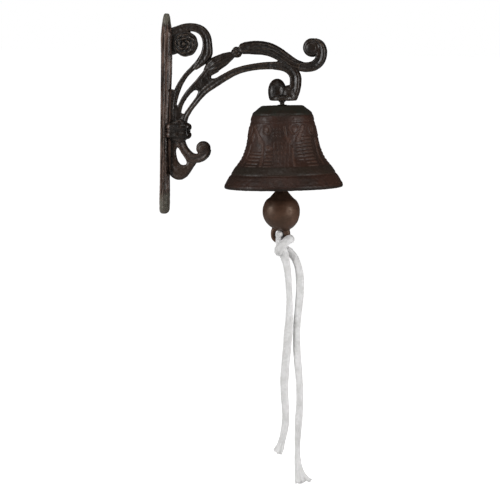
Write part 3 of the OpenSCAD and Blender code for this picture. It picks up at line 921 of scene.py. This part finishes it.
def make_shank():
    loop_z = ROCK[2] + LINK_R - LOOP_R
    ring = wire_ring((HANG_X, 0, loop_z), (1, 0, 0), (0, 0, 1), LOOP_R, LOOP_WIRE)
    low = loop_z - LOOP_R
    side = [(1.2, low + 0.9), (2.6, low - 0.8), (2.9, low - 2), (2.4, low - 4), (2.4, -50),
            (2.4, -60), (2.5, -71)]
    rod = plumb(even_line(side, 0.6, 2), 40)
    shank = fused("clapper_shank_rod", [ring, rod], voxel=0.3, softening=4)
    rough_up(shank, 1.6, 0.1, 5.5)
    mark_wear_and_shade(shank, 2)
    return shank


def make_ball():
    """The clapper's ball, with its neck above and the cord's eye below."""
    neck = [(2.6, -68.8), (3.6, -69), (4.4, -70.2), (6.4, -73), (9, -76.1), (11.8, -79.2)]
    ball = oval(BALL_SKIN, BALL_SKIN, np.radians(np.linspace(52, 158, 56))) + (0, BALL_Z)
    foot = [(5.6, -110), (3, -111), (1, -111.2)]
    body = plumb(even_line(np.vstack([neck, ball, foot]), 0.5, 2), 140)
    low = plumb(oval(LOW_R, LOW_R, np.linspace(0.03, 3.11, 60)), 90, 1.1, BALL_Z - 2.6)
    # The eye: square-shouldered, with a heavier leg on the outer side
    t = angles(120)
    x = EYELET_R * power(np.cos(t), 0.8) - 0.45 * (1 - np.cos(t))
    z = EYELET_R * power(np.sin(t), 0.8)
    line = np.stack([HANG_X + x, 0 * t, EYELET_Z + z], axis=-1)
    out = np.stack([np.cos(t), 0 * t, np.sin(t)], axis=-1)
    heavy = (0.5 + 0.5 * np.cos(t - 0.6)) ** 2
    thick = EYELET_WIRE * (0.9 + 0.4 * heavy + 0.25 * (0.5 + 0.5 * np.sin(t)) ** 2)
    line = line - out * (thick - EYELET_WIRE)[:, None]
    eye = solid("eye", rings_about(line, out, SIDEWAYS, thick[:, None, None], 24), closed=True)
    gusset = plumb(oval(5.6, 6, np.linspace(0.05, 3.09, 24)), 40, 5, -106.6)
    ball = fused("clapper_ball_cast", [body, low, eye, gusset], voxel=0.38, softening=10)
    rough_up(ball, 4, 0.14, 1.9)
    mark_wear_and_shade(ball)
    return ball


link, shank, clapper_ball = make_link(), make_shank(), make_ball()
for piece, body, node, finish in (
    (link, "link", "clapper_link", "hardware_steel"),
    (shank, "clapper", "clapper_shank", "clapper_iron"),
    (clapper_ball, "clapper", "clapper_ball", "clapper_iron"),
):
    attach(piece, body)
    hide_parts(node)


# ---- finishes
class Finish:
    """A material with short calls for its nodes."""

    def __init__(self, name):
        self.material = bpy.data.materials.new(name)
        self.material.use_nodes = True
        self.nodes, self.links = self.material.node_tree.nodes, self.material.node_tree.links
        self.place = self.make("TexCoord", "Object", {})

    def feed(self, sockets, values):
        """Links or sets sockets, by name or number."""
        for name, value in values.items():
            if isinstance(value, bpy.types.NodeSocket):
                self.links.new(value, sockets[name])
            else:
                sockets[name].default_value = value

    def make(self, kind, output, inputs, **settings):
        """One output of a new node."""
        node = self.nodes.new("ShaderNode" + kind)
        for name, value in settings.items():
            setattr(node, name, value)
        self.feed(node.inputs, inputs)
        return node.outputs[output]

    def noise(self, size_mm, detail=4, rough=0.55, stretch=None):
        """Noise with lumps about size_mm across."""
        place = self.place
        if stretch:
            place = self.make("Mapping", "Vector", {"Vector": place, "Scale": stretch})
        return self.make("TexNoise", "Fac", {
            "Vector": place, "Scale": 1 / (size_mm * MM), "Detail": detail, "Roughness": rough,
        })

    def spread(self, value, lo, hi, to_lo=0.0, to_hi=1.0):
        return self.make("MapRange", "Result", {
            "Value": value, "From Min": lo, "From Max": hi, "To Min": to_lo, "To Max": to_hi,
        }, clamp=True, interpolation_type="SMOOTHSTEP")

    def math(self, operation, a, b):
        return self.make("Math", 0, {0: a, 1: b}, operation=operation)

    def times(self, a, b):
        return self.math("MULTIPLY", a, b)

    def mix(self, share, a, b):
        return self.make("Mix", 2, {"Factor": share, 6: a, 7: b}, data_type="RGBA")

    def attribute(self, name):
        return self.make("Attribute", "Fac", {}, attribute_name=name)

    def bump(self, height, depth_mm, **under):
        """Normal=... lays it over another bump."""
        inputs = {"Height": height, "Distance": depth_mm * MM, **under}
        return self.make("Bump", "Normal", inputs)

    def surface(self, **values):
        """Links or sets the shader's own sockets, such as Base_Color."""
        values = {name.replace("_", " "): value for name, value in values.items()}
        self.feed(self.nodes["Principled BSDF"].inputs, values)
        return self.material


def srgb(r, g, b):
    """A colour as it is read off a picture, made linear."""
    def line(c):
        c /= 255
        return c / 12.92 if c <= 0.04045 else ((c + 0.055) / 1.055) ** 2.4
    return (line(r), line(g), line(b), 1)


BLACK, WHITE = srgb(12, 11, 9), (1, 1, 1, 1)


def cast_iron(name, dark, brown, worn, black, rough, shine, wear, patch_mm=16, grain=0.06,
              dirt_and_shade_amount=0.85, glint=WHITE, marks=None):
    """Old cast iron: dark, with patches of brown rust, rubbed edges, and dirt and painted shade in
    the hollows. marks adds to its colour before the wear goes on."""
    f = Finish(name)
    patches = f.spread(f.noise(patch_mm, 5, 0.6), 0.4, 0.62)
    specks = f.spread(f.noise(1.1, 3, 0.7), 0.5, 0.72)
    colour = f.mix(patches, dark, brown)
    colour = f.mix(f.times(specks, 0.18), colour, worn)
    if marks:
        colour = marks(f, colour)
    edge = f.attribute("wear")
    ragged = f.spread(f.noise(3, 3), 0.3, 0.7, -0.12, 0.12)
    rubbed = f.spread(f.math("ADD", edge, ragged), 0.12, 0.6)
    colour = f.mix(f.times(rubbed, wear), colour, worn)
    # Darker towards black in the hollows: dirt, and painted shade where the hollows lie in shadow
    dirt_and_shade = f.spread(edge, -0.08, -0.5)
    colour = f.mix(f.times(dirt_and_shade, dirt_and_shade_amount), colour, black)
    gloss = f.spread(f.noise(5, 4, 0.6), 0.3, 0.7, rough - 0.08, rough + 0.12)
    gloss = f.math("SUBTRACT", gloss, f.times(rubbed, 0.1))
    gloss = f.math("ADD", gloss, f.times(dirt_and_shade, 0.2))
    sand = f.bump(f.noise(0.75, 4, 0.6), grain)
    skin = f.bump(f.noise(3.2, 3, 0.5), grain * 2.2, Normal=sand)
    return f.surface(Base_Color=colour, Roughness=gloss, Metallic=0, Specular_IOR_Level=shine,
                     Specular_Tint=glint, Normal=skin)


def plate_marks(f, colour):
    """Brown streaks down the wall plate, a browner tail, and grey paint left on its two pads."""
    x, z = (f.make("SeparateXYZ", axis, {0: f.place}) for axis in "XZ")
    high = f.math("ABSOLUTE", f.math("ADD", z, -0.0045), 0)
    pad = f.times(f.spread(high, 0.081, 0.088), f.spread(x, 0.009, 0.006))
    pad = f.times(pad, f.spread(f.noise(6, 4, 0.6), 0.35, 0.6, 0.35, 0.85))
    streaks = f.spread(f.noise(1.5, 3, stretch=(1, 1, 0.07)), 0.4, 0.62, 0.05, 0.9)
    plate = f.times(f.spread(x, 0.0095, 0.0078), streaks)
    colour = f.mix(plate, colour, srgb(94, 75, 66))
    tail = f.times(f.spread(z, -0.022, -0.032), f.spread(x, 0.01, 0.014, 0, 0.45))
    colour = f.mix(tail, colour, srgb(74, 58, 49))
    return f.mix(pad, colour, srgb(100, 98, 88))


def ornament(f, colour):
    """Brown rubbed ornament, darker ground, and near-black green paint on the crown, mixed there
    with painted shade.
    """
    raised = f.spread(f.attribute("raised"), 0.05, 0.8)
    colour = f.mix(f.spread(raised, 0, 1, 0.25, 0), colour, srgb(38, 27, 21))
    colour = f.mix(f.times(raised, 0.3), colour, srgb(80, 58, 47))
    left = f.spread(f.noise(11, 4, 0.6), 0.35, 0.6, 0.5, 1)
    # Near-black green from the stored mask: old paint, and on the crown painted shade as well
    paint_and_shade = f.times(f.attribute("paint_and_shade"), left)
    return f.mix(paint_and_shade, colour, srgb(32, 31, 25))


def steel(name):
    """Plain steel hardware with a dull, spotted zinc skin."""
    f = Finish(name)
    spots = f.spread(f.noise(1.6, 4, 0.65), 0.42, 0.66)
    return f.surface(
        Base_Color=f.mix(spots, srgb(92, 88, 84), srgb(58, 50, 44)), Metallic=0.85,
        Roughness=f.spread(spots, 0, 1, 0.34, 0.62), Normal=f.bump(f.noise(0.5, 3), 0.03),
    )


def cotton(name, light, shaded):
    """Undyed cotton: soft yarns with a light fuzz."""
    f = Finish(name)
    tone = f.spread(f.noise(9, 3), 0.35, 0.65)
    colour = f.mix(tone, light, shaded)
    yarn = f.noise(0.55, 4, 0.7)
    colour = f.mix(f.spread(yarn, 0.5, 0.75, 0, 0.12), colour, BLACK)
    return f.surface(Base_Color=colour, Roughness=0.95, Specular_IOR_Level=0.15,
                     Sheen_Weight=0.25, Sheen_Roughness=0.5, Normal=f.bump(yarn, 0.16))


# Each iron darkens its hollows with dirt and painted shade
bracket_iron = cast_iron(
    "bracket_iron", srgb(18, 14, 11), srgb(30, 22, 17), srgb(80, 68, 58), BLACK, rough=0.3,
    shine=0.25, wear=0.55, marks=plate_marks,
)
bell_iron = cast_iron(
    "bell_iron", srgb(38, 26, 21), srgb(51, 32, 25), srgb(76, 55, 45), srgb(16, 12, 9),
    patch_mm=22, rough=0.42, shine=0.17, grain=0.1, wear=0.4, dirt_and_shade_amount=0.6, marks=ornament,
)
ball_iron = cast_iron(
    "clapper_iron", srgb(54, 38, 29), srgb(68, 47, 36), srgb(94, 74, 60), srgb(18, 13, 9),
    patch_mm=20, rough=0.42, shine=0.36, grain=0.05, wear=0.4, glint=srgb(255, 226, 204),
)
zinc = steel("hardware_steel")
cotton_cord = cotton("cotton_cord", srgb(214, 213, 213), srgb(202, 201, 200))
# A lighter copy of the cord's cotton for the frayed ends: painted light that lifts the shade
# between the loose threads
cotton_fray_painted_light = cotton("cotton_fray_painted_light", srgb(224, 223, 223), srgb(214, 213, 212))
for finish, things in (
    (bracket_iron, [bracket]),
    (bell_iron, [bell]),
    (ball_iron, [clapper_ball, shank]),
    (zinc, [bolt, washer, support_nut, lock_nut, link]),
    (cotton_cord, [left_cord, right_cord, knot]),
    (cotton_fray_painted_light, [left_tuft, right_tuft]),
):
    for thing in things:
        thing.data.materials.append(finish)


# ---- studio
FLOOR_Z, FLOOR_HALF = -385, 60000
AIM = Vector((0.09, 0, -0.05))
LIGHTS = [  # name, place, width and height in metres, power in watts
    ("left", (-1.1, -0.9, 0.2), (0.45, 1), 19),
    ("right", (1.35, -0.4, 0.15), (0.4, 1), 15.5),
    ("top", (0.15, -0.9, 1.2), (0.9, 0.6), 6.5),
]


def area_light(name, place, size, power):
    data = bpy.data.lights.new(name, "AREA")
    data.shape, data.energy = "RECTANGLE", power
    data.size, data.size_y = size
    light = bpy.data.objects.new(name, data)
    bpy.context.collection.objects.link(light)
    light.location = place
    light.rotation_mode = "QUATERNION"
    light.rotation_quaternion = (AIM - Vector(place)).to_track_quat("-Z", "Y")


def make_studio():
    scene = bpy.context.scene
    scene.view_settings.view_transform = "Standard"
    scene.view_settings.look = "None"
    scene.world = world = bpy.data.worlds.new("studio")
    world.use_nodes = True
    nodes, links = world.node_tree.nodes, world.node_tree.links
    seen, shown = nodes["Background"], nodes.new("ShaderNodeBackground")
    for sky, strength in ((seen, 0.05), (shown, 1)):
        sky.inputs["Color"].default_value = WHITE
        sky.inputs["Strength"].default_value = strength
    path, blend = nodes.new("ShaderNodeLightPath"), nodes.new("ShaderNodeMixShader")
    links.new(path.outputs["Is Camera Ray"], blend.inputs["Fac"])
    links.new(seen.outputs["Background"], blend.inputs[1])
    links.new(shown.outputs["Background"], blend.inputs[2])
    links.new(blend.outputs["Shader"], nodes["World Output"].inputs["Surface"])
    corners = [(-1, -1), (1, -1), (1, 1), (-1, 1)]
    floor = mesh_object(
        "floor", [(FLOOR_HALF * x, FLOOR_HALF * y, FLOOR_Z) for x, y in corners], [[0, 1, 2, 3]],
    )
    paper = Finish("floor_paper")
    grain = paper.spread(paper.noise(4, 3), 0.3, 0.7)
    floor.data.materials.append(paper.surface(
        Base_Color=paper.mix(grain, (0.78, 0.78, 0.78, 1), (0.8, 0.8, 0.8, 1)), Roughness=0.9,
        Emission_Color=WHITE, Emission_Strength=paper.make("LightPath", "Is Camera Ray", {}),
    ))
    for light in LIGHTS:
        area_light(*light)


make_studio()
